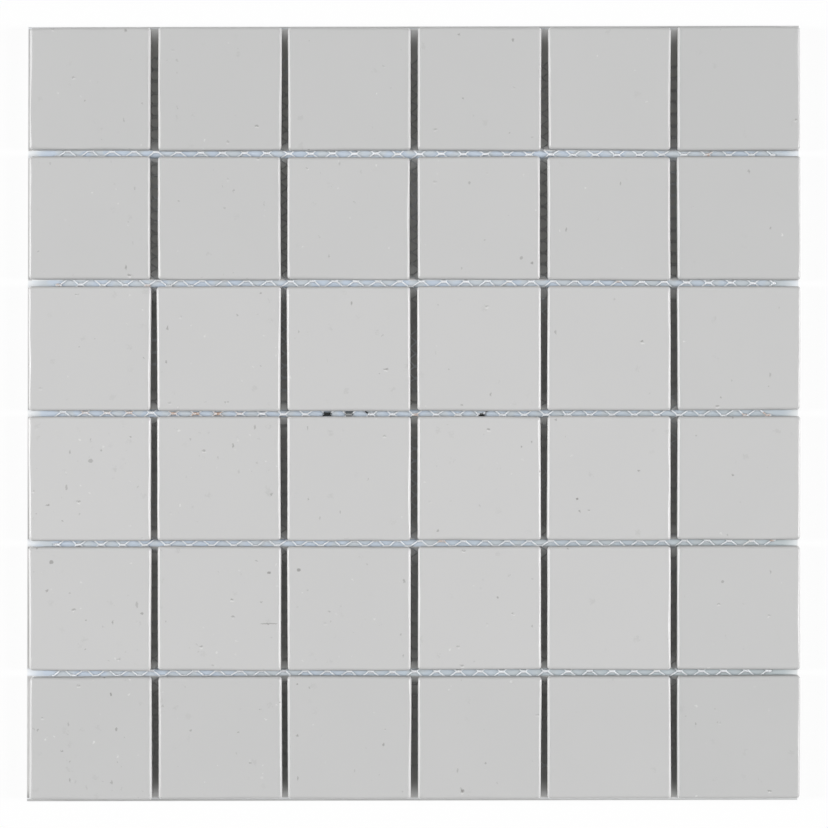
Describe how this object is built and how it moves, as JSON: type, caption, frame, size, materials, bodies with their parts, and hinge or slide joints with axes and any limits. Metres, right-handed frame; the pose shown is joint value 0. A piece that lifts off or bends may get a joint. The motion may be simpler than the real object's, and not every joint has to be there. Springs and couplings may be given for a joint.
{
  "type": "mosaic tile sheet",
  "caption": "Square mesh-backed sheet of light grey glazed ceramic mosaic tiles with soft edges, set in a straight grid with even open joints for grouting.",
  "frame": {"origin": "middle of the sheet, on the underside of the net, where the sheet lies on a floor or a wall", "axes": "+Z out of the glazed faces, +X along a row of tiles, +Y up the picture to the first row"},
  "size_m": [0.3022, 0.3022, 0.0065],
  "materials": {
    "glaze": "light grey satin glaze with fine pits, on a pale unglazed ceramic body",
    "net": "white knitted synthetic net, stiffened with clear adhesive"
  },
  "bodies": {
    "root": {"tile_r1_c1": "glaze", "tile_r1_c2": "glaze", "tile_r1_c3": "glaze", "tile_r1_c4": "glaze", "tile_r1_c5": "glaze", "tile_r1_c6": "glaze", "tile_r2_c1": "glaze", "tile_r2_c2": "glaze", "tile_r2_c3": "glaze", "tile_r2_c4": "glaze", "tile_r2_c5": "glaze", "tile_r2_c6": "glaze", "tile_r3_c1": "glaze", "tile_r3_c2": "glaze", "tile_r3_c3": "glaze", "tile_r3_c4": "glaze", "tile_r3_c5": "glaze", "tile_r3_c6": "glaze", "tile_r4_c1": "glaze", "tile_r4_c2": "glaze", "tile_r4_c3": "glaze", "tile_r4_c4": "glaze", "tile_r4_c5": "glaze", "tile_r4_c6": "glaze", "tile_r5_c1": "glaze", "tile_r5_c2": "glaze", "tile_r5_c3": "glaze", "tile_r5_c4": "glaze", "tile_r5_c5": "glaze", "tile_r5_c6": "glaze", "tile_r6_c1": "glaze", "tile_r6_c2": "glaze", "tile_r6_c3": "glaze", "tile_r6_c4": "glaze", "tile_r6_c5": "glaze", "tile_r6_c6": "glaze", "net_band_1": "net", "net_band_2": "net", "net_band_3": "net", "net_band_4": "net", "net_band_5": "net"}
  },
  "joints": []
}
